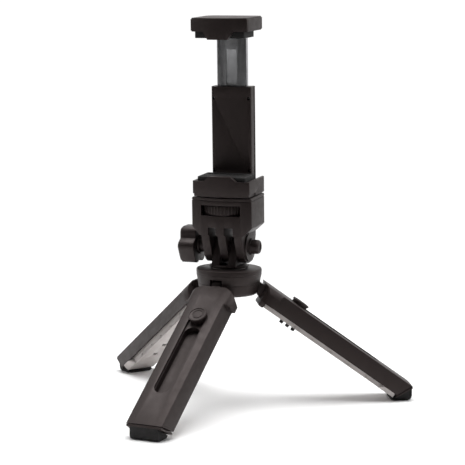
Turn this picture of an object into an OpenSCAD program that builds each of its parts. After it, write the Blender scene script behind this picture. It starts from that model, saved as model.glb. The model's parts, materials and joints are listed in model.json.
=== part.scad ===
// Tabletop tripod with a tilting hinge head and a sliding phone clamp.
// Three spreading legs with telescoping inner legs hang from a round hub.
// The head pans on the hub, tilts on a finger hinge and carries the clamp.
// Units are millimetres, +Z is up, the feet stand on z = 0.

/* [Hub] */
// Radius of the hub's flat top
hub_r = 18.1; // [17.8:0.1:18.6]
// Height of the hub's top above the ground
hub_top_z = 75; // [74.5:0.1:75.5]
// Height of the joint line between the hub's two halves
hub_split_z = 67; // [67:0.1:67.3]
// Height of the hub's underside
hub_bottom_z = 60.2; // [60.1:0.1:60.4]
// Width of the notch that takes a leg's tongue
notch_w = 7; // [6.6:0.1:7.4]

/* [Leg hinge] */
// Distance of a leg's hinge pin from the hub's axis
hinge_r = 14; // [13.9:0.1:14.1]
// Angle of a spread leg below the horizontal
leg_slope = 35.3; // [35:0.1:35.6]
// Width of the tongue that turns on the pin
tongue_w = 5.3; // [4.6:0.1:6]
// Radius of the hinge pin
pin_r = 1.25; // [1:0.05:1.4]

/* [Leg shell] */
// Width of the leg's outer face
face_w = 20.2; // [19.8:0.1:20.4]
// Width of the leg shell at the edge of its side walls
shell_w = 24.4; // [24:0.1:24.6]
// Distance from the hinge axis up to the leg's outer face
shell_top = 3.5; // [3.4:0.1:3.7]
// Distance from the hinge axis down to the edge of the side walls
shell_drop = 5.7; // [5.5:0.1:5.9]
// Thickness of the side walls
wall = 1.6; // [1.4:0.1:1.8]
// Thickness of the outer face
face_t = 1.2; // [1:0.1:1.3]
// Length of the outer face from the hinge axis
shell_len = 106; // [105.8:0.1:106.2]
// Width of the long slot in the outer face
slot_w = 9.6; // [9.4:0.1:9.8]

/* [Extension] */
// Spacing of the square latch holes
hole_pitch = 12.3; // [12:0.1:12.4]
// Number of latch holes
hole_count = 5; // [3:1:5]
// Side of a latch hole
hole_w = 3; // [2.6:0.1:3.4]
// Distance of the lock button from the hinge axis
button_s = 28.5; // [28.3:0.1:28.7]
// Radius of the lock button
button_r = 4.6; // [4.5:0.05:4.65]

/* [Feet] */
// Reach of a foot from the hub's axis
foot_r = 102.6; // [102.4:0.1:102.8]
// Width of a rubber foot
foot_w = 16; // [14:0.5:16]

/* [Head] */
// Height of the tilt axis
tilt_z = 87.2; // [87:0.1:87.6]
// Turn of the head about the hub's axis
head_pan = 5.1; // [0:0.1:10]
// Forward lean of the head
head_lean = 3; // [0:0.5:5]
// Thickness of one hinge finger
finger_t = 4.5; // [4.3:0.1:4.6]
// Spacing of the head's fingers
finger_pitch = 9.4; // [9.4:0.1:9.6]
// Radius of the head's fingers
finger_r = 9.1; // [8.6:0.1:9.2]
// Radius of the tilt bolt
bolt_r = 2.5; // [2:0.1:2.6]
// Half width of the head block
block_hw = 17.2; // [17:0.1:17.4]
// Radius of the thumbwheel
wheel_r = 13.7; // [13.4:0.1:13.8]

/* [Clamp] */
// Opening between the clamp's pads
clamp_gap = 75; // [70:0.1:80]
// Half width of the lower jaw
lower_hw = 16.3; // [16:0.1:16.6]
// Half width of the upper jaw
upper_hw = 16.4; // [16:0.1:16.8]
// Height of the upper jaw's body
upper_h = 7.3; // [7:0.1:8]

/* [Hidden] */
$fn = 72;
e = 0.01;

LEGS = ["front", "right", "left"];
LEG_TURN = [-90, 30, 150];

charcoal = "#57504c";
dark = "#2b2727";
light = "#ddd3d1";
rubber_black = "#1b1a1a";
steel = "#b4b6b8";
brass = "#b5954f";

// Running clearance round a pin or bolt
run_gap = 0.05;
bolt_gap = 0.075;

hinge_z = hub_split_z;
half_w = shell_w / 2;
face_hw = face_w / 2;
cavity_hw = half_w - wall - 0.1;
cavity_top_hw = face_hw - wall - 0.1;
facet_lean = atan((half_w - face_hw) / (shell_drop + 3));
shoulder_hw = half_w + 1.8;
shell_under = -shell_drop;
face_under = shell_top - face_t;
shell_start = 7.2;
cavity_s = 14;

slot_s0 = 23.6;
slot_s1 = 84;
button_top = shell_top + 2.35;
head_r = 5.15;
latch_s = 31.7;
latch_pivot_s = 28;
latch_pivot_n = -2.6;
latch_axle_r = 0.6;

bar_top = face_under - 0.25;
bar_under = -3.9;
bar_hw = cavity_hw - 1;
bar_top_hw = cavity_top_hw - 0.4;
pocket_floor = -1.5;

cover_top = -4.2;
cover_under = -8.3;
cover_hw = 8.4;
cover_floor = -6.9;
cover_start = 11.4;
cover_len = 100.8;
flange_hw = 9.8;
end_rise = 0.489;

// Middle of the outline between the front foot and the rear corners of the other feet
hub_y = (foot_r - (foot_r * sin(30) + flange_hw * cos(30))) / 2;

base_finger_r = 4.9;
base_disc_r = 10.9;
finger_out = finger_pitch + finger_t / 2;
slot_top_h = 12.2;
block_h0 = 7.6;
block_h1 = 28.4;
block_rear = 12.3;
bow_r = 45;
block_front = -15;
wheel_y = -1.4;
wheel_h0 = 18.9;
wheel_h1 = 24.1;
screw_r = 3.175;

jaw_h0 = 29;
jaw_h1 = 37.4;
pad_h = 39.7;
tongue_h = 40.3;
screw_top = jaw_h1 - 2.2;
jaw_rear = 15.4;
lip_t = 3.2;
pad_rear = 5;
upper_pad_h = pad_h + clamp_gap;
upper_h0 = upper_pad_h + 3.5;
upper_h1 = upper_h0 + upper_h;
screw_seat_y = 14.2;
spine_y0 = 5.5;
spine_y1 = 13.5;
spine_hw = 11.5;
cover_screw_x = 10.2;
cover_screw_r = 0.9;
spine_h1 = 87.3;
bar_y0 = 7.2;
bar_y1 = 10.6;
slide_hw = 8.6;
slide_h0 = 57.3;
cavity_h0 = 38.8;

// A point given by radius and height becomes one along and across the leg
function leg_pt(r, z) = [
  (r - hinge_r) * cos(leg_slope) + (hinge_z - z) * sin(leg_slope),
  (r - hinge_r) * sin(leg_slope) - (hinge_z - z) * cos(leg_slope)
];

// ---------- placing ----------

module at_hub() translate([0, hub_y, 0]) children();

// Leg frame: x runs down the leg from its pin, y across it, z out of its outer face
module at_leg(i) {
  at_hub() rotate([0, 0, LEG_TURN[i]]) translate([hinge_r, 0, hinge_z]) rotate([0, leg_slope, 0]) children();
}

// Head frame: x to the knob's far side, y to the rear, z up from the tilt axis
module at_head() {
  at_hub() translate([0, 0, tilt_z]) rotate([0, 0, head_pan]) rotate([head_lean, 0, 0]) children();
}

// Places children at the three angles of the legs, turned by extra degrees
module each_leg(extra = 0) {
  for (a = LEG_TURN) rotate([0, 0, a + extra]) children();
}

// ---------- shared shapes ----------

// Rectangle with round corners
module round_rect(x0, x1, y0, y1, r) {
  translate([x0 + r, y0]) square([x1 - x0 - 2 * r, y1 - y0]);
  translate([x0, y0 + r]) square([x1 - x0, y1 - y0 - 2 * r]);
  for (x = [x0 + r, x1 - r]) for (y = [y0 + r, y1 - r]) translate([x, y]) circle(r);
}

// Plan of a jaw or block: flat rear, bowed front
module bowed_body(hw, front, rear, r) {
  intersection() {
    round_rect(-hw, hw, front, rear, r);
    translate([0, front + bow_r]) circle(bow_r, $fn = 180);
  }
}

// Flat shape drawn in x and z, with its thickness along y
module across(y0, y1) {
  translate([0, y1, 0]) rotate([90, 0, 0]) linear_extrude(y1 - y0) children();
}

// Flat shape drawn in y and z, with its thickness along x
module along(x0, x1) {
  translate([x0, 0, 0]) rotate([90, 0, 90]) linear_extrude(x1 - x0) children();
}

// Cylinder along x
module rod_x(x0, x1, r) {
  translate([x0, 0, 0]) rotate([0, 90, 0]) cylinder(h = x1 - x0, r = r);
}

// Cylinder across y
module rod_y(y0, y1, r) {
  translate([0, y0, 0]) rotate([-90, 0, 0]) cylinder(h = y1 - y0, r = r);
}

// Coil spring standing on z = 0, wound as one closed tube
module coil(r, wire, h, turns, steps = 10, sides = 6) {
  n = turns * steps;
  pts = [
    for (i = [0:n]) for (j = [0:sides - 1])
      let (a = 360 * i / steps, b = 360 * j / sides, q = r + wire * cos(b))
      [q * cos(a), q * sin(a), wire + (h - 2 * wire) * i / n + wire * sin(b)]
  ];
  skin = [
    for (i = [0:n - 1]) for (j = [0:sides - 1])
      let (k = (j + 1) % sides, a = i * sides + j, b = i * sides + k, c = b + sides, d = a + sides)
      each [[a, b, c], [a, c, d]]
  ];
  first = [for (j = [sides - 1:-1:0]) j];
  last = [for (j = [0:sides - 1]) n * sides + j];
  polyhedron(pts, concat(skin, [first, last]), convexity = 8);
}

// ---------- hub ----------

// Radius of the hub's outside from its underside to its split line, then to its rim
hub_low = [
  [0, hub_bottom_z], [13.4, hub_bottom_z], [14.6, hub_bottom_z + 0.25], [15.5, hub_bottom_z + 0.8],
  [16.2, hub_bottom_z + 1.7], [16.6, hub_bottom_z + 2.8], [17.17, hub_split_z], [0, hub_split_z]
];
hub_high = [
  [0, hub_split_z], [17.2, hub_split_z], [hub_r, hub_top_z - 3], [hub_r - 0.15, hub_top_z - 2.8],
  [hub_r - 0.15, hub_top_z - 2.6], [hub_r, hub_top_z - 2.4], [hub_r, hub_top_z - 0.7],
  [hub_r - 0.2, hub_top_z - 0.25], [hub_r - 0.7, hub_top_z], [0, hub_top_z]
];
screw_circle = 11.5;

module hub_screw() {
  translate([0, 0, hub_bottom_z + 0.3]) cylinder(h = 1.7, r = 2.3);
  translate([0, 0, hub_bottom_z + 1]) cylinder(h = 10.6, r = 1.25);
}

module each_hub_screw() each_leg(180) translate([screw_circle, 0, 0]) children();

module pin_seats() each_leg() translate([hinge_r, 0, hinge_z]) rod_y(-6.5, 6.5, pin_r);

module hub_top() color(charcoal) at_hub() difference() {
  rotate_extrude($fn = 144) polygon(hub_high);
  cylinder(h = 200, r = 3 + run_gap);
  each_leg() translate([10.6, -notch_w / 2, hub_split_z - 1]) cube([10, notch_w, 4.1]);
  pin_seats();
  each_hub_screw() hub_screw();
}

module hub_base() color(charcoal) at_hub() difference() {
  rotate_extrude($fn = 144) polygon(hub_low);
  translate([0, 0, hub_bottom_z - 1]) cylinder(h = 20, r = 5.8);
  each_leg() translate([8.1, -notch_w / 2, hub_bottom_z - 1]) cube([12.6, notch_w, 20]);
  pin_seats();
  each_hub_screw() {
    hub_screw();
    translate([0, 0, hub_bottom_z - 1]) cylinder(h = 2, r = 2.3);
  }
}

module hub_cap() color(dark) at_hub() difference() {
  translate([0, 0, hub_bottom_z]) cylinder(h = 1.6, r = 5.8);
  translate([-2.4, -0.5, hub_bottom_z - 1]) cube([4.8, 1, 1.6]);
}

module hub_screws() color(steel) at_hub() each_hub_screw() difference() {
  hub_screw();
  for (a = [0, 90]) rotate([0, 0, a]) translate([-1.3, -0.3, hub_bottom_z]) cube([2.6, 0.6, 1.1]);
}

module leg_pins() color(steel) at_hub() pin_seats();

module spring_washer() color(steel) at_hub() difference() {
  translate([0, 0, hub_split_z - 0.7]) cylinder(h = 0.7, r = 5.1);
  translate([0, 0, hub_split_z - 2]) cylinder(h = 4, r = 3.2);
}

module friction_washer() color(light) at_hub() difference() {
  translate([0, 0, hub_top_z]) cylinder(h = 0.5, r = 9.6);
  translate([0, 0, hub_top_z - 1]) cylinder(h = 4, r = 3.2);
}

// ---------- pan joint ----------

pan_z0 = hub_top_z + 0.6;
disc_z1 = pan_z0 + 1.5;
bolt_top = disc_z1 + 0.5;

module centre_bolt() color(steel) at_hub() difference() {
  union() {
    translate([0, 0, 62.9]) cylinder(h = 3.3, r = 5);
    translate([0, 0, 66]) cylinder(h = bolt_top - 66, r = 3);
  }
  translate([0, 0, 62]) cylinder(h = 2.9, r = 2.3, $fn = 6);
}

// One upright finger of the hinge base, drawn in the pan frame
module base_finger() {
  translate([0, 0, tilt_z]) rotate([90, 0, 90]) linear_extrude(finger_t, center = true) {
    circle(base_finger_r);
    polygon([
      [-9, disc_z1 - tilt_z - 1], [-9, disc_z1 - tilt_z + 1.2], [-4.75, 1.2],
      [4.75, 1.2], [9, disc_z1 - tilt_z + 1.2], [9, disc_z1 - tilt_z - 1]
    ]);
  }
}

module hinge_base() color(dark) at_hub() rotate([0, 0, head_pan]) difference() {
  union() {
    rotate_extrude() polygon([
      [0, pan_z0], [base_disc_r - 0.3, pan_z0], [base_disc_r, pan_z0 + 0.3],
      [base_disc_r, disc_z1 - 0.5], [base_disc_r - 0.8, disc_z1 - 0.4],
      [base_disc_r - 1, disc_z1], [0, disc_z1]
    ]);
    for (s = [-1, 1]) translate([s * finger_pitch / 2, 0, 0]) base_finger();
  }
  translate([0, 0, pan_z0 - 1]) cylinder(h = bolt_top - pan_z0 + 1, r = 3);
  translate([0, 0, tilt_z]) rod_x(-10, 10, bolt_r + bolt_gap);
}

// ---------- tilting head ----------

module head_finger(x) {
  along(x - finger_t / 2, x + finger_t / 2) {
    circle(finger_r);
    polygon([
      [-12.2, block_h0 + 1], [-12.2, 5.5], [-8.8, -2.3], [8.8, -2.3], [11.6, 4.5], [11.6, block_h0 + 1]
    ]);
  }
}

// Front view of the block with its chamfered lower corners
module block_front_view() polygon([
  [-12.2, block_h0], [12.2, block_h0], [block_hw, block_h0 + 4.5], [block_hw, block_h1 - 0.6],
  [block_hw - 0.6, block_h1], [0.6 - block_hw, block_h1], [-block_hw, block_h1 - 0.6],
  [-block_hw, block_h0 + 4.5]
]);

module head_block() color(dark) at_head() difference() {
  union() {
    intersection() {
      linear_extrude(60) bowed_body(block_hw, block_front, block_rear, 2.6);
      across(-20, 20) block_front_view();
    }
    for (x = [-finger_pitch, 0, finger_pitch]) head_finger(x);
    rod_x(finger_out - e, finger_out + 1, 8.3);
  }
  // Gaps that take the fingers of the hinge base
  for (s = [-1, 1]) along(s * finger_pitch / 2 - 2.45, s * finger_pitch / 2 + 2.45) {
    circle(slot_top_h - 0.6);
    translate([-20, -9]) square([40, 9 + slot_top_h]);
  }
  rod_x(-20, 30, bolt_r + bolt_gap);
  // Hexagonal pocket for the nut
  rotate([0, 90, 0]) translate([0, 0, finger_out - 1.3]) cylinder(h = 10, r = 4.7, $fn = 6);
  // Wheel chamber with its front and rear windows
  translate([0, wheel_y, wheel_h0 - 0.3]) cylinder(h = wheel_h1 - wheel_h0 + 0.6, r = wheel_r + 0.35);
  across(-30, -8) translate([-11.2, wheel_h0 - 0.3]) square([22.4, wheel_h1 - wheel_h0 + 0.6]);
  across(8, 30) translate([-9.5, wheel_h0 - 0.3]) square([19, wheel_h1 - wheel_h0 + 0.6]);
  translate([0, wheel_y, 20]) cylinder(h = 20, r = screw_r + bolt_gap);
  // Shallow line round the block under its top edge
  difference() {
    translate([-30, -30, block_h1 - 1.7]) cube([60, 60, 0.4]);
    linear_extrude(60) bowed_body(block_hw - 0.35, block_front + 0.35, block_rear - 0.35, 2.6);
  }
}

module tilt_nut() color(dark) at_head() difference() {
  union() {
    translate([finger_out - 1.3, 0, 0]) rotate([0, 90, 0]) cylinder(h = 3, r = 4.7, $fn = 6);
    rod_x(finger_out + 1, 16.6, 3.9);
    translate([16.6, 0, 0]) rotate([0, 90, 0]) rotate_extrude() polygon([
      [0, 0], [3.9, 0], [3.8, 0.6], [3.3, 1.2], [2.5, 1.5], [2.2, 0.9], [0, 0.8]
    ]);
  }
  rod_x(0, 16, bolt_r + run_gap);
}

// ---------- tilt knob ----------

knob_x0 = -26.6;
knob_x1 = -17.1;
knob_bore_x = -23.6;
lobe_len = 10.2;
lobe_hw = 7;
lobe_corner = 3.6;
LOBE_TURN = [88, 208, 328];

// Outline of the three-lobed knob, one broad lobe pointing to the front
module knob_outline(inset) {
  for (a = LOBE_TURN) rotate(a)
    round_rect(-1, lobe_len - inset, inset - lobe_hw, lobe_hw - inset, lobe_corner - inset);
}

module tilt_knob() color(dark) at_head() difference() {
  union() {
    along(knob_x0 + 0.8, knob_x1) knob_outline(0);
    along(knob_x0, knob_x0 + 0.8 + e) knob_outline(0.7);
    rod_x(knob_x1 - e, -finger_out - 0.8, 4.3);
    rod_x(knob_x1 - e, knob_x1 + 1.2, 5.4);
  }
  rod_x(knob_bore_x, 0, bolt_r);
}

module tilt_bolt() color(steel) at_head() rod_x(knob_bore_x, 15.6, bolt_r);

module tilt_washer() color(steel) at_head() difference() {
  rod_x(-finger_out - 0.8, -finger_out - 0.15, 5.2);
  rod_x(-20, 0, bolt_r);
}

// ---------- thumbwheel ----------

rib_count = 44;

module thumbwheel() color(dark) at_head() translate([0, wheel_y, 0]) difference() {
  union() {
    translate([0, 0, wheel_h0]) linear_extrude(wheel_h1 - wheel_h0) circle(wheel_r - 0.55);
    translate([0, 0, wheel_h0 + 0.35]) linear_extrude(wheel_h1 - wheel_h0 - 0.7) difference() {
      circle(wheel_r);
      for (i = [0:rib_count - 1]) rotate(i * 360 / rib_count)
        translate([wheel_r + 0.15, 0]) circle(0.6, $fn = 16);
    }
  }
  cylinder(h = 60, r = screw_r);
}

module thumb_screw() color(steel) at_head() translate([0, wheel_y, 0]) {
  translate([0, 0, wheel_h0]) cylinder(h = screw_top - wheel_h0, r = screw_r);
  translate([0, 0, screw_top - e]) cylinder(h = 0.6, r1 = screw_r, r2 = screw_r - 0.6);
}

// ---------- clamp ----------

// Front view of a jaw's lip: straight edge with a raised tongue in the middle
module lip_view(edge, tip, low) polygon([
  [-20, low], [20, low], [20, edge], [9.6, edge], [6, tip], [-6, tip], [-9.6, edge], [-20, edge]
]);

module lower_jaw() color(charcoal) at_head() difference() {
  union() {
    intersection() {
      linear_extrude(60) bowed_body(lower_hw, -15.3, jaw_rear, 3);
      across(-20, -15.3 + lip_t) lip_view(jaw_h1, tongue_h, jaw_h0);
    }
    translate([0, 0, jaw_h0]) linear_extrude(jaw_h1 - 1.4 - jaw_h0) bowed_body(lower_hw, -15.3, jaw_rear, 3);
    // Raised side edges
    intersection() {
      translate([0, 0, jaw_h0]) linear_extrude(jaw_h1 - jaw_h0) bowed_body(lower_hw, -15.3, jaw_rear, 3);
      for (s = [-1, 1]) translate([s * (lower_hw - 0.9) - 0.9, -14, jaw_h0]) cube([1.8, jaw_rear + 14, 9]);
    }
  }
  // Seat of the threaded insert
  translate([0, wheel_y, 0]) cylinder(h = 60, r = screw_r + 0.2);
  translate([0, wheel_y, jaw_h0 + 0.8]) cylinder(h = 20, r = 5);
  // Seat of the spine
  translate([-spine_hw, spine_y0, jaw_h0 + 2]) cube([2 * spine_hw, 20, 20]);
  // Two-tone step across the front
  translate([0, 0, jaw_h0 - 1]) linear_extrude(2.4) difference() {
    translate([-30, -30]) square([60, 28]);
    bowed_body(lower_hw - 0.5, -14.8, jaw_rear, 3);
  }
}

module jaw_insert() color(brass) at_head() translate([0, wheel_y, 0]) difference() {
  translate([0, 0, jaw_h0 + 0.8]) cylinder(h = 6, r = 5);
  cylinder(h = 60, r = screw_r + bolt_gap);
}

pad_front = -15.3 + lip_t + 0.1;
PAD_GROOVES = [-10, -7.4, -4.8, -2.2, 0.4, 3];
groove_hw = 12.4;

module lower_pad() color(rubber_black) at_head() difference() {
  translate([0, 0, jaw_h1 - 1.4]) linear_extrude(pad_h - jaw_h1 + 1.4)
    round_rect(-13.8, 13.8, pad_front, pad_rear, 1);
  for (y = PAD_GROOVES) translate([-groove_hw, y - 0.35, pad_h - 0.5]) cube([2 * groove_hw, 0.7, 2]);
}

module spine() color(charcoal) at_head() difference() {
  translate([0, 0, jaw_h0 + 2]) linear_extrude(spine_h1 - jaw_h0 - 2)
    round_rect(-spine_hw, spine_hw, spine_y0, spine_y1 - 2, 1.2);
  // Channel of the slide bar, open to the rear cover
  translate([-slide_hw - 0.25, bar_y0 - 0.2, cavity_h0]) cube([2 * slide_hw + 0.5, 20, 60]);
  each_cover_screw() rod_y(0, 20, cover_screw_r);
}

module each_cover_screw() {
  for (x = [-cover_screw_x, cover_screw_x]) for (z = [41, 81]) translate([x, 0, z]) children();
}

module spine_cover() color(dark) at_head() difference() {
  translate([0, 0, jaw_h0 + 2]) linear_extrude(spine_h1 - jaw_h0 - 2) difference() {
    round_rect(-spine_hw, spine_hw, spine_y1 - 2, spine_y1 + 0.2, 1);
    for (x = [-5.4, 0, 5.4]) translate([x - 0.5, spine_y1 - 0.2]) square([1, 2]);
  }
  each_cover_screw() {
    rod_y(0, 20, cover_screw_r);
    rod_y(spine_y1 - 0.6, 20, 1.1);
  }
}

module cover_screws() color(steel) at_head() each_cover_screw() {
  rod_y(spine_y0 + 2, spine_y1 - 0.6, cover_screw_r);
  rod_y(spine_y1 - 0.6, spine_y1 + 0.1, 1.1);
}

module clamp_springs() color(steel) at_head() {
  for (x = [-4.6, 4.6]) translate([x, (bar_y0 + bar_y1) / 2, cavity_h0 + 0.1])
    coil(1.35, 0.25, slide_h0 - cavity_h0 - 0.2, 9, 8, 4);
}

// ---------- sliding jaw ----------

module slide_bar() color(steel) at_head() difference() {
  translate([0, 0, slide_h0]) linear_extrude(upper_h1 - 2 - slide_h0)
    round_rect(-slide_hw, slide_hw, bar_y0, bar_y1, 0.8);
  // Long groove down the front of the bar
  translate([-3, bar_y0 - 1, slide_h0 + 6]) cube([6, 1.6, 44]);
  each_jaw_screw() rod_y(0, 20, 1.2);
}

module each_jaw_screw() {
  for (x = [-5, 5]) translate([x, 0, upper_h0 + 2.6]) children();
}

module upper_jaw() color(charcoal) at_head() difference() {
  union() {
    translate([0, 0, upper_h0 + 0.5]) linear_extrude(upper_h - 1.1) bowed_body(upper_hw, -15.6, 15.6, 5);
    translate([0, 0, upper_h0]) linear_extrude(upper_h) bowed_body(upper_hw - 0.5, -15.1, 15.1, 4.5);
    intersection() {
      linear_extrude(140) bowed_body(upper_hw, -15.6, 15.6, 5);
      across(-20, -15.6 + lip_t) polygon([
        [-8.4, upper_h0 + 1], [8.4, upper_h0 + 1], [8.4, upper_h0], [5.7, upper_pad_h - 0.6],
        [-5.7, upper_pad_h - 0.6], [-8.4, upper_h0]
      ]);
    }
  }
  // Seat of the slide bar
  translate([0, 0, upper_h0 - 1]) linear_extrude(upper_h - 1)
    round_rect(-slide_hw, slide_hw, bar_y0, bar_y1, 0.8);
  each_jaw_screw() {
    rod_y(0, 20, 1.2);
    rod_y(screw_seat_y, 20, 2.1);
  }
}

module jaw_screws() color(steel) at_head() each_jaw_screw() {
  rod_y(4, screw_seat_y, 1.2);
  rod_y(screw_seat_y, screw_seat_y + 1.2, 2.1);
}

module upper_pad() color(rubber_black) at_head() difference() {
  translate([0, 0, upper_pad_h]) linear_extrude(3.5) round_rect(-14, 14, pad_front - 0.2, pad_rear, 1);
  for (y = PAD_GROOVES) translate([-groove_hw, y - 0.35, upper_pad_h - 1]) cube([2 * groove_hw, 0.7, 1.5]);
}

// ---------- legs, drawn in the leg frame ----------

// Section across the shell before its sides are cut: crowned face with rounded corners
module shell_section() polygon([
  [-shoulder_hw, shell_under], [-shoulder_hw, shell_under + 1.4], [-half_w - 0.9, shell_top - 3.4],
  [-half_w + 0.5, shell_top - 1.3], [-half_w + 1.9, shell_top - 0.45], [-half_w / 2, shell_top - 0.06],
  [0, shell_top], [half_w / 2, shell_top - 0.06], [half_w - 1.9, shell_top - 0.45],
  [half_w - 0.5, shell_top - 1.3], [half_w + 0.9, shell_top - 3.4], [shoulder_hw, shell_under + 1.4],
  [shoulder_hw, shell_under]
]);

// Plan of the shell: broad shoulder that falls away to both sides of the tongue
module shell_plan() polygon([
  [3.2, 0], [3.7, 3.6], [4.9, 7.4], [6.6, 10.6], [8.8, 13], [10.6, shoulder_hw],
  [15, shoulder_hw], [120, shoulder_hw], [120, -shoulder_hw], [15, -shoulder_hw],
  [10.6, -shoulder_hw], [8.8, -13], [6.6, -10.6], [4.9, -7.4], [3.7, -3.6]
]);

// Leaning facet cut from a side wall, starting in a round arch behind the shoulder
module facet_cut() translate([0, half_w, shell_under]) rotate([facet_lean, 0, 0]) across(0, 8) {
  translate([22.4, -4]) square([100, 20]);
  translate([22.4, 5.4]) circle(6.4);
  polygon([[17.6, -4], [14.6, -0.6], [16.2, 4], [23, 4], [23, -4]]);
}

// Side view of the shell: its hinge end clears the hub, its far end is slanted
module shell_side() polygon([
  [4.8, shell_top + 1], [4.8, shell_top - 0.2], [5.9, shell_top - 1.4], [shell_start, 0.4],
  [shell_start, shell_under],
  [shell_len - 5, shell_under], [shell_len, shell_top], [shell_len, shell_top + 1]
]);

// Stadium in the plan of the leg
module stadium(s0, s1, w) {
  translate([s0 + w / 2, -w / 2]) square([s1 - s0 - w, w]);
  for (s = [s0 + w / 2, s1 - w / 2]) translate([s, 0]) circle(w / 2);
}

module tongue() difference() {
  across(-tongue_w / 2, tongue_w / 2) {
    circle(2.8);
    polygon([
      [0, 1.6], [5.2, 1.6], [7, 2.2], [14, 2.2], [14, shell_under], [shell_start, shell_under],
      [4.4, -4.2], [0, -2.8]
    ]);
  }
  rod_y(-10, 10, pin_r + run_gap);
}

module leg_shell(i) color(charcoal) at_leg(i) union() {
  difference() {
    intersection() {
      along(0, 120) shell_section();
      across(-20, 20) shell_side();
      translate([0, 0, -20]) linear_extrude(40) shell_plan();
    }
    along(cavity_s, 130) polygon([
      [-cavity_hw, shell_under - 1], [-cavity_hw, shell_under], [-cavity_top_hw, face_under],
      [cavity_top_hw, face_under], [cavity_hw, shell_under], [cavity_hw, shell_under - 1]
    ]);
    translate([0, 0, -20]) linear_extrude(60) stadium(slot_s0, slot_s1, slot_w);
    facet_cut();
    mirror([0, 1, 0]) facet_cut();
    rod_y(-20, 20, 3.2);
  }
  tongue();
  // Heel lip under the hinge end
  across(-8, 8) polygon([
    [shell_start + 0.9, shell_under + 0.5], [shell_start + 0.9, cover_under - 0.2],
    [shell_start + 1.5, cover_under - 0.7], [cover_start - 0.8, cover_under - 0.7],
    [cover_start - 0.3, cover_under - 0.2], [cover_start - 0.3, shell_under + 0.5]
  ]);
}

module leg_cover(i) color(light) at_leg(i) difference() {
  union() {
    translate([cover_start, -cover_hw, cover_under]) cube([4, 2 * cover_hw, shell_under - cover_under]);
    translate([cavity_s + 0.2, -cover_hw, cover_under])
      cube([cover_len - cavity_s - 0.2, 2 * cover_hw, cover_top - cover_under]);
    // Full-width tip with round corners and drawn-in sides
    intersection() {
      translate([0, 0, cover_under]) linear_extrude(shell_under - cover_under)
        round_rect(cover_len - 10, cover_len, -half_w, half_w, 4);
      along(0, 120) polygon([
        [-half_w + 0.2, shell_under], [-8.8, cover_under], [8.8, cover_under], [half_w - 0.2, shell_under]
      ]);
    }
  }
  // Hollow above the holes
  translate([0, 0, cover_floor]) linear_extrude(10)
    round_rect(latch_s - 5, latch_s + (hole_count - 1) * hole_pitch + 5, -6.6, 6.6, 1);
  for (k = [0:hole_count - 1]) translate([latch_s + k * hole_pitch, 0, 0])
    translate([-hole_w / 2, -hole_w / 2, -20]) cube([hole_w, hole_w, 40]);
  // Small marks in both edges beside each hole
  for (k = [0:hole_count - 1]) for (s = [-1, 1])
    translate([latch_s + k * hole_pitch - 0.8, s * cover_hw - 0.5, cover_under + 0.7]) cube([1.6, 1, 1]);
}

stud_pitch = 3.84;

module bumpers(i) color(rubber_black) at_leg(i) {
  for (k = [-1:1]) translate([button_s + k * stud_pitch, -5.5, cover_under]) {
    translate([0, 0, -1.8]) cylinder(h = 1.8, r = 1.1, $fn = 32);
    translate([0, 0, -1.8]) cylinder(h = 0.3, r = 0.9, $fn = 32);
  }
}

// End line of the leg, moved down by a distance
function end_z(r, down) = 4.0 + end_rise * (r - 93.1) - down;

module inner_leg(i) color(charcoal) at_leg(i) difference() {
  union() {
    intersection() {
      along(cavity_s + 1, 124) polygon([
        [-bar_hw, bar_under], [-bar_top_hw, bar_top], [bar_top_hw, bar_top], [bar_hw, bar_under]
      ]);
      across(-20, 20) polygon([
        [0, 10], [0, -10], leg_pt(93.2, end_z(93.2, 0.5)), leg_pt(foot_r, end_z(foot_r, 0.5)),
        leg_pt(foot_r - 2, end_z(foot_r, 0) + 8)
      ]);
    }
    // Flange that closes the end of the shell and carries the foot
    intersection() {
      across(-20, 20) polygon([
        leg_pt(93.2, end_z(93.2, 0.45)), leg_pt(foot_r, end_z(foot_r, 0.45)),
        leg_pt(foot_r, end_z(foot_r, 1.7)), leg_pt(93.2, end_z(93.2, 1.7))
      ]);
      along(90, 130) polygon([
        [-11.6, -7], [-flange_hw, 2], [-flange_hw, 5], [flange_hw, 5], [flange_hw, 2], [11.6, -7]
      ]);
    }
  }
  // Long open channel below the slot
  translate([0, 0, pocket_floor]) linear_extrude(20) stadium(35, 97, 9);
  // Round well of the lock button
  translate([button_s, 0, pocket_floor]) cylinder(h = 20, r = button_r + 0.2);
  // Gap of the latch and the seat of its axle
  translate([23.7, -1.5, -20]) cube([9.4, 3, 30]);
  translate([latch_pivot_s, 0, latch_pivot_n]) rod_y(-2.5, 2.5, latch_axle_r + 0.07);
  translate([latch_pivot_s - latch_axle_r - 0.07, -2.5, -20])
    cube([2 * latch_axle_r + 0.14, 5, 20 + latch_pivot_n]);
}

module foot(i) color(rubber_black) at_leg(i) intersection() {
  across(-foot_w / 2, foot_w / 2) polygon([
    leg_pt(91, 0), leg_pt(100, 0), leg_pt(101.9, 0.9), leg_pt(foot_r, 2.6),
    leg_pt(foot_r, end_z(foot_r, 1.7)),
    leg_pt(93.2, end_z(93.2, 1.7)), leg_pt(91.6, 1.45), leg_pt(91, 1.1)
  ]);
  // Tapered towards the hub's axis so that the folded feet meet without touching
  along(90, 130) polygon([
    [-(hinge_r - 10.5) * tan(60) + 0.35, -10.5], [(hinge_r - 10.5) * tan(60) - 0.35, -10.5],
    [12, -7], [12, 5], [-12, 5], [-12, -7]
  ]);
}

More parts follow.
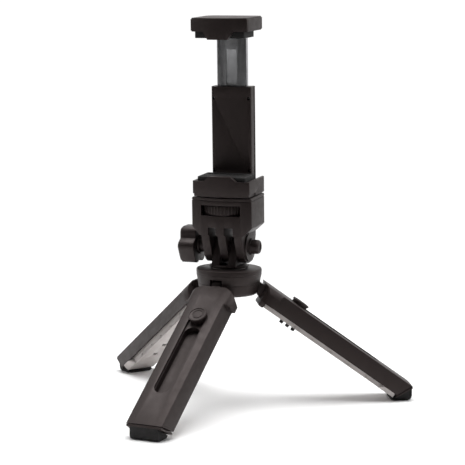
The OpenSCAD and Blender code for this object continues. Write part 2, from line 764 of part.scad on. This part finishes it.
module lock_button(i) color(charcoal) at_leg(i) translate([button_s, 0, 0]) {
  difference() {
    union() {
      translate([0, 0, 0.5]) cylinder(h = button_top - 1, r = button_r);
      translate([0, 0, button_top - 1]) cylinder(h = 0.7 + e, r = head_r);
      translate([0, 0, button_top - 0.3 - e]) cylinder(h = 0.3 + e, r1 = head_r, r2 = head_r - 0.3);
    }
    // Hollow for the springs
    translate([0, 0, -1]) cylinder(h = 3.6, r = 3.95);
    // Dished face with one engraved ring
    translate([0, 0, button_top - 0.35]) cylinder(h = 2, r = head_r - 0.8);
    translate([0, 0, button_top - 0.6]) difference() {
      cylinder(h = 2, r = 3.1);
      translate([0, 0, -1]) cylinder(h = 4, r = 2.5);
    }
  }
  // Nub that presses the latch
  intersection() {
    translate([-4.3, -1.1, -1.15]) cube([1.1, 2.2, 4.3]);
    translate([0, 0, -2]) cylinder(h = 8, r = button_r - 0.05);
  }
}

module button_springs(i) color(steel) at_leg(i) {
  for (y = [-2.75, 2.75]) translate([button_s, y, pocket_floor]) coil(0.75, 0.2, 2.85, 4, 8, 4);
}

module latch(i) color(steel) at_leg(i) translate([latch_pivot_s, 0, latch_pivot_n]) {
  rod_y(-2.4, 2.4, latch_axle_r);
  across(-1.2, 1.2) polygon([
    [-3.9, 1.2], [-0.4, 1.2], [0.6, 0.5], [4.2, 0.5], [4.2, -0.9], [4, -1.45],
    [3.3, -1.45], [3.1, -0.5], [-0.6, -0.5], [-1, 0.4], [-3.9, 0.4]
  ]);
}

// ---------- nodes ----------

hub_top();
hub_base();
hub_cap();
hub_screws();
leg_pins();
spring_washer();
friction_washer();
centre_bolt();
hinge_base();
head_block();
tilt_nut();
tilt_knob();
tilt_bolt();
tilt_washer();
thumbwheel();
thumb_screw();
lower_jaw();
lower_pad();
jaw_insert();
spine();
spine_cover();
cover_screws();
clamp_springs();
slide_bar();
upper_jaw();
upper_pad();
jaw_screws();
for (i = [0:2]) {
  leg_shell(i);
  leg_cover(i);
  bumpers(i);
  inner_leg(i);
  foot(i);
  lock_button(i);
  button_springs(i);
  latch(i);
}
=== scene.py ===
import json
import math

import bmesh
import bpy
from mathutils import Matrix, Vector


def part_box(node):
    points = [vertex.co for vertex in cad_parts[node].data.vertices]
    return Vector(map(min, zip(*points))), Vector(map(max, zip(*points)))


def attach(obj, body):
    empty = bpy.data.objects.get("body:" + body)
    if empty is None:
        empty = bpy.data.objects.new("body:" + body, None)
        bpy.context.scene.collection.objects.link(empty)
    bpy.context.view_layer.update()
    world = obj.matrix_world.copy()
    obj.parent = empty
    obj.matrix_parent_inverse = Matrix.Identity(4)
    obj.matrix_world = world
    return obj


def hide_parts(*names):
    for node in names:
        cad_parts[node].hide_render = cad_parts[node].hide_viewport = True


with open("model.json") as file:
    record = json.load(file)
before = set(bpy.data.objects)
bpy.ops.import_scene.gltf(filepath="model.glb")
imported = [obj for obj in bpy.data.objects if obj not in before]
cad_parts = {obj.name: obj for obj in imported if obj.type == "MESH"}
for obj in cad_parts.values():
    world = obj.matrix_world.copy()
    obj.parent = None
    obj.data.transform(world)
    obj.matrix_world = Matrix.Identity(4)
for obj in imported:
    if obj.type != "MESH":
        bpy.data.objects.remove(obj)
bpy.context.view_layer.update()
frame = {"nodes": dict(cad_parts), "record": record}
NODES = frame["nodes"]
RECORD = frame["record"]
BODY_OF = {n: body for body, members in RECORD["behaviour"]["bodies"].items() for n in members}
MM = 0.001


def middle(node):
    """Middle of a CAD node's box."""
    low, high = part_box(node)
    return (low + high) / 2


HUB = middle("hub_top")

# ---------- camera ----------

VIEW_TURN = math.radians(24.6)
CAMERA_REACH = 0.926
CAMERA_HEIGHT = 0.2137
CAMERA_PITCH = math.radians(7.34)
CAMERA_PAN = math.radians(0.11)
CAMERA_ROLL = math.radians(0.35)
LENS = 130.9
SENSOR_WIDTH = 36
CLIP_END = 20


def add_camera():
    """The camera stands in front of the tripod, a little above its clamp, and looks slightly down."""
    data = bpy.data.cameras.new("camera")
    data.lens = LENS
    data.sensor_width = SENSOR_WIDTH
    data.clip_end = CLIP_END
    camera = bpy.data.objects.new("camera", data)
    bpy.context.scene.collection.objects.link(camera)
    place = Vector((HUB.x, HUB.y, 0)) + Vector(
        (CAMERA_REACH * math.sin(VIEW_TURN), -CAMERA_REACH * math.cos(VIEW_TURN), CAMERA_HEIGHT)
    )
    turn = Matrix.Rotation(VIEW_TURN, 3, "Z")
    forward = turn @ Vector((
        math.sin(CAMERA_PAN) * math.cos(CAMERA_PITCH),
        math.cos(CAMERA_PAN) * math.cos(CAMERA_PITCH),
        -math.sin(CAMERA_PITCH),
    ))
    right = turn @ Vector((math.cos(CAMERA_PAN), -math.sin(CAMERA_PAN), 0))
    up = right.cross(forward)
    rolled_right = right * math.cos(CAMERA_ROLL) + up * math.sin(CAMERA_ROLL)
    rolled_up = up * math.cos(CAMERA_ROLL) - right * math.sin(CAMERA_ROLL)
    basis = Matrix((rolled_right, rolled_up, -forward)).transposed()
    camera.matrix_world = Matrix.Translation(place) @ basis.to_4x4()
    bpy.context.scene.camera = camera


# ---------- materials ----------

# Sockets of a colour mix node, which has several of each name
MIX_COLOUR_A = 6
MIX_COLOUR_B = 7
MIX_COLOUR_OUT = 2


def set_range(node, start, end, low, high):
    """Values of a map range node: from start..end to low..high."""
    for key, value in zip(("From Min", "From Max", "To Min", "To Max"), (start, end, low, high)):
        node.inputs[key].default_value = value


class Nodes:
    """Short way to add and join shader nodes."""

    def __init__(self, name):
        self.material = bpy.data.materials.new(name)
        self.material.use_nodes = True
        self.tree = self.material.node_tree
        self.shader = self.tree.nodes["Principled BSDF"]

    def add(self, kind, values=(), **settings):
        node = self.tree.nodes.new(kind)
        for key, value in settings.items():
            setattr(node, key, value)
        for key, value in dict(values).items():
            node.inputs[key].default_value = value
        return node

    def join(self, out, into):
        self.tree.links.new(out, into)

    def set(self, **values):
        for key, value in values.items():
            self.shader.inputs[key.replace("_", " ")].default_value = value

    def position(self):
        """Texture coordinates fixed to the piece."""
        return self.add("ShaderNodeTexCoord").outputs["Object"]

    def noise(self, scale, detail=3, rough=0.55):
        node = self.add("ShaderNodeTexNoise", {"Scale": scale, "Detail": detail, "Roughness": rough})
        self.join(self.position(), node.inputs["Vector"])
        return node.outputs["Fac"]

    def ramp(self, fac, stops):
        node = self.add("ShaderNodeValToRGB")
        elements = node.color_ramp.elements
        for element, (place, colour) in zip(elements, (stops[0], stops[-1])):
            element.position = place
            element.color = (*colour, 1)
        for place, colour in stops[1:-1]:
            element = elements.new(place)
            element.color = (*colour, 1)
        self.join(fac, node.inputs["Fac"])
        return node.outputs["Color"]

    def spread(self, fac, low, high, start=0.3, end=0.7):
        node = self.add("ShaderNodeMapRange")
        set_range(node, start, end, low, high)
        self.join(fac, node.inputs["Value"])
        return node.outputs["Result"]

    def bump(self, height, distance, strength=1.0, below=None):
        node = self.add("ShaderNodeBump", {"Distance": distance, "Strength": strength})
        self.join(height, node.inputs["Height"])
        if below is not None:
            self.join(below, node.inputs["Normal"])
        return node.outputs["Normal"]


def tone(colour, factor):
    return tuple(c * factor for c in colour)


def moulded_plastic(name, colour, rough, grain, wear=1.6):
    """Spark-eroded moulded plastic: fine grain, faint cloudiness, edges rubbed a little lighter."""
    m = Nodes(name)
    cloud = m.noise(55, 4)
    body = m.ramp(cloud, [(0.3, tone(colour, 0.9)), (0.7, tone(colour, 1.1))])
    edge = m.add("ShaderNodeNewGeometry").outputs["Pointiness"]
    worn = m.spread(edge, 0, 1, 0.515, 0.6)
    scuff = m.spread(m.noise(700, 4, 0.7), 0, 0.55, 0.42, 0.7)
    both = m.add("ShaderNodeMath", operation="MULTIPLY")
    m.join(worn, both.inputs[0])
    m.join(scuff, both.inputs[1])
    mix = m.add("ShaderNodeMix", data_type="RGBA")
    m.join(both.outputs[0], mix.inputs["Factor"])
    m.join(body, mix.inputs[MIX_COLOUR_A])
    mix.inputs[MIX_COLOUR_B].default_value = (*tone(colour, wear), 1)
    m.join(mix.outputs[MIX_COLOUR_OUT], m.shader.inputs["Base Color"])
    m.join(m.spread(m.noise(240, 4), rough - 0.05, rough + 0.06), m.shader.inputs["Roughness"])
    fine = m.bump(m.noise(2600, 2), grain * MM, 0.6)
    m.join(m.bump(m.noise(900, 3), grain * 1.6 * MM, 0.35, fine), m.shader.inputs["Normal"])
    m.set(IOR=1.42)
    m.shader.inputs["Specular Tint"].default_value = (1.0, 0.86, 0.84, 1)
    return m.material


def soft_rubber(name, colour):
    """Matte rubber with a dusty bloom and shallow pores."""
    m = Nodes(name)
    dust = m.noise(160, 6, 0.65)
    m.join(m.ramp(dust, [(0.35, colour), (0.75, tone(colour, 1.9))]), m.shader.inputs["Base Color"])
    m.join(m.spread(m.noise(400), 0.72, 0.88), m.shader.inputs["Roughness"])
    m.join(m.bump(m.noise(1800, 4), 0.02 * MM, 0.6), m.shader.inputs["Normal"])
    m.set(IOR=1.45)
    return m.material


def plated_metal(name, colour, rough):
    """Plated metal with fine turning marks and slight tarnish."""
    m = Nodes(name)
    tarnish = m.noise(220, 5)
    m.join(m.ramp(tarnish, [(0.3, tone(colour, 0.82)), (0.7, colour)]), m.shader.inputs["Base Color"])
    m.join(m.spread(m.noise(500, 5), rough - 0.06, rough + 0.1), m.shader.inputs["Roughness"])
    m.join(m.bump(m.noise(3000, 2), 0.004 * MM, 0.5), m.shader.inputs["Normal"])
    m.set(Metallic=1.0)
    return m.material


CHARCOAL = moulded_plastic("charcoal_plastic", (0.0150, 0.0105, 0.0100), 0.5, 0.02)
BLACK = moulded_plastic("black_plastic", (0.0125, 0.0086, 0.0082), 0.48, 0.02, 2.0)
PALE = moulded_plastic("pale_plastic", (0.5, 0.465, 0.45), 0.42, 0.01, 1.0)
RUBBER = soft_rubber("rubber", (0.009, 0.0082, 0.0082))
STEEL = plated_metal("steel", (0.44, 0.44, 0.45), 0.34)
BRASS = plated_metal("brass", (0.72, 0.52, 0.24), 0.28)
FINISH = {
    "charcoal_plastic": CHARCOAL,
    "black_plastic": BLACK,
    "pale_plastic": PALE,
    "rubber": RUBBER,
    "steel": STEEL,
    "brass": BRASS,
}
SLOT_OF = {s["node"]: s["material_slot"] for s in RECORD["subparts"]}

# ---------- finishing of the frame's pieces ----------

WELD_DISTANCE = 2e-6
FLAT_ANGLE = math.radians(0.6)
BEVEL_ANGLE = math.radians(32)
SHARP_ANGLE = math.radians(35)
BEVEL_SEGMENTS = 3

# Radius of the rounded edges, in millimetres, for pieces whose edges show
EDGE = {
    "leg_shell": 0.45,
    "leg_cover": 0.4,
    "inner_leg": 0.3,
    "foot": 1.3,
    "lock_button": 0.22,
    "latch": 0.1,
    "bumpers": 0.25,
    "hub_top": 0.2,
    "hub_base": 0.2,
    "hub_cap": 0.2,
    "hub_screws": 0.12,
    "hinge_base": 0.45,
    "centre_bolt": 0.2,
    "head_block": 0.5,
    "tilt_nut": 0.35,
    "tilt_knob": 1.3,
    "tilt_washer": 0.15,
    "thumbwheel": 0.15,
    "lower_jaw": 0.5,
    "lower_pad": 0.3,
    "upper_jaw": 0.6,
    "upper_pad": 0.3,
    "spine": 0.6,
    "spine_cover": 0.35,
    "slide_bar": 0.3,
    "jaw_screws": 0.15,
    "cover_screws": 0.12,
}


def kind_of(node):
    """A leg's node without the name of its leg."""
    for side in ("front_", "right_", "left_"):
        if node.startswith(side):
            return node[len(side):]
    return node


def clean_mesh(source):
    """Copy of a CAD mesh with its flat faces joined."""
    bm = bmesh.new()
    bm.from_mesh(source)
    bmesh.ops.remove_doubles(bm, verts=bm.verts, dist=WELD_DISTANCE)
    bmesh.ops.dissolve_limit(
        bm, angle_limit=FLAT_ANGLE, verts=bm.verts, edges=bm.edges, delimit={"MATERIAL"}
    )
    mesh = bpy.data.meshes.new("clean")
    bm.to_mesh(mesh)
    bm.free()
    return mesh


def finished(node, radius):
    """Rounded-edge version of a CAD node that stands for it."""
    mesh = clean_mesh(NODES[node].data)
    mesh.materials.clear()
    mesh.materials.append(FINISH[SLOT_OF[node]])
    piece = bpy.data.objects.new("fine_" + node, mesh)
    bpy.context.scene.collection.objects.link(piece)
    bevel = piece.modifiers.new("edge", "BEVEL")
    bevel.width = radius * MM
    bevel.segments = BEVEL_SEGMENTS
    bevel.limit_method = "ANGLE"
    bevel.angle_limit = BEVEL_ANGLE
    bevel.miter_outer = "MITER_ARC"
    bevel.harden_normals = False
    bpy.context.view_layer.update()
    graph = bpy.context.evaluated_depsgraph_get()
    final = bpy.data.meshes.new_from_object(piece.evaluated_get(graph))
    piece.modifiers.clear()
    piece.data = final
    final.shade_smooth()
    final.set_sharp_from_angle(angle=SHARP_ANGLE)
    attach(piece, BODY_OF[node])
    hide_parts(node)


def finish_frame():
    """Rounded version of each node that has a radius, and a material for every other one."""
    for node, obj in NODES.items():
        radius = EDGE.get(kind_of(node))
        if radius:
            finished(node, radius)
        else:
            obj.data.materials.clear()
            obj.data.materials.append(FINISH[SLOT_OF[node]])


# ---------- stage ----------

FLOOR_HALF = 6.0
FADE_START = 0.2
FADE_END = 0.75
DIM = 0.03
BRIGHT = 1.03
LIGHT_AIM = 0.09


def add_stage():
    """Pale floor that fades into the backdrop away from the object."""
    bpy.ops.mesh.primitive_plane_add(size=2 * FLOOR_HALF, location=(0, 0, 0))
    floor = bpy.context.object
    floor.name = "floor"
    m = Nodes("floor")
    m.set(Base_Color=(0.9, 0.9, 0.9, 1), Roughness=0.6)
    m.shader.inputs["Specular IOR Level"].default_value = 0.1
    length = m.add("ShaderNodeVectorMath", operation="LENGTH")
    m.join(m.position(), length.inputs[0])
    fade = m.spread(length.outputs["Value"], 0, 1, FADE_START, FADE_END)
    clear = m.add("ShaderNodeBsdfTransparent")
    mix = m.add("ShaderNodeMixShader")
    m.join(fade, mix.inputs[0])
    m.join(m.shader.outputs[0], mix.inputs[1])
    m.join(clear.outputs[0], mix.inputs[2])
    m.join(mix.outputs[0], m.tree.nodes["Material Output"].inputs["Surface"])
    floor.data.materials.append(m.material)


def area_light(name, turn, height, reach, size, power):
    """Soft box at an angle round the object, turn 0 being the camera's side and positive to its right."""
    data = bpy.data.lights.new(name, "AREA")
    data.shape = "RECTANGLE"
    data.size, data.size_y = size
    data.energy = power
    light = bpy.data.objects.new(name, data)
    bpy.context.scene.collection.objects.link(light)
    angle = VIEW_TURN + math.radians(turn)
    place = Vector((HUB.x + reach * math.sin(angle), HUB.y - reach * math.cos(angle), height))
    light.location = place
    light.rotation_euler = (Vector((HUB.x, HUB.y, LIGHT_AIM)) - place).to_track_quat("-Z", "Y").to_euler()


def add_world():
    """Studio surroundings: a white backdrop behind the tripod and a dim room on the camera's side."""
    world = bpy.data.worlds.new("studio")
    bpy.context.scene.world = world
    world.use_nodes = True
    tree = world.node_tree
    place = tree.nodes.new("ShaderNodeTexCoord")
    ahead = tree.nodes.new("ShaderNodeVectorMath")
    ahead.operation = "DOT_PRODUCT"
    ahead.inputs[1].default_value = (-math.sin(VIEW_TURN), math.cos(VIEW_TURN), 0)
    tree.links.new(place.outputs["Generated"], ahead.inputs[0])
    reach = tree.nodes.new("ShaderNodeMapRange")
    set_range(reach, 0.15, 0.9, DIM, BRIGHT)
    tree.links.new(ahead.outputs["Value"], reach.inputs["Value"])
    tree.links.new(reach.outputs["Result"], tree.nodes["Background"].inputs["Strength"])
    tree.nodes["Background"].inputs["Color"].default_value = (1, 1, 1, 1)


def add_light():
    """Large soft box overhead and one on each side, a little behind the tripod."""
    area_light("top", 180, 1.1, 0.05, (0.9, 0.9), 17)
    area_light("left", -95, 0.6, 0.95, (0.6, 0.8), 3)
    area_light("right", 100, 0.55, 1.0, (0.5, 0.8), 4)
    bpy.context.scene.view_settings.view_transform = "Standard"


add_camera()
finish_frame()
add_stage()
add_world()
add_light()
